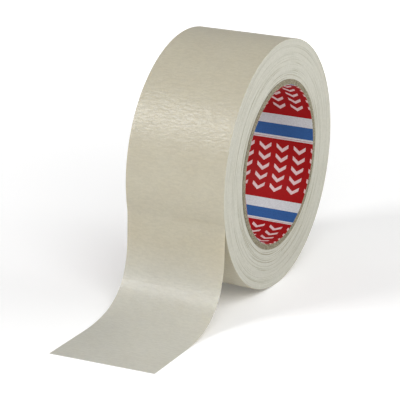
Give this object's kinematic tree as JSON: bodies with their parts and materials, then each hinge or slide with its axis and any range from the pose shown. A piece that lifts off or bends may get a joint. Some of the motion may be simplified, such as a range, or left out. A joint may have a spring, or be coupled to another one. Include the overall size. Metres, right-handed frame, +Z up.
{
  "type": "masking tape roll",
  "caption": "Roll of crepe-paper masking tape on a wound board core with a printed liner, standing on edge with its free end drawn out flat in front.",
  "frame": {"origin": "centre of the core's bore, midway between the roll's two end faces", "axes": "+X along the bore axis, out of the end face that is nearer the viewer; +Z up; the free end of the tape runs towards -Y along the surface the roll stands on"},
  "size_m": [0.05, 0.1862, 0.12],
  "materials": {
    "printed_liner": "printed, satin",
    "core_board": "grey-brown board, matt",
    "wound_tape": "slit edge of wound paper tape, matt",
    "tape": "creped, saturated paper with a low sheen"
  },
  "bodies": {
    "roll": {"printed_liner": "printed_liner", "core_ply_1": "core_board", "core_ply_2": "core_board", "core_ply_3": "core_board", "core_ply_4": "core_board", "core_ply_5": "core_board", "wound_tape": "wound_tape"},
    "outermost_turn": {"outer_turn": "tape"},
    "free_end": {"free_end": "tape"}
  },
  "joints": [
    {"name": "unwind", "type": "hinge", "parent": "roll", "child": "outermost_turn", "pos_m": [0, 0, 0], "axis": [-1, 0, 0], "continuous": true},
    {"name": "lift_free_end", "type": "hinge", "parent": "outermost_turn", "child": "free_end", "pos_m": [0, -0.05822, -0.01452], "axis": [-1, 0, 0], "range_deg": [0, 110]}
  ]
}
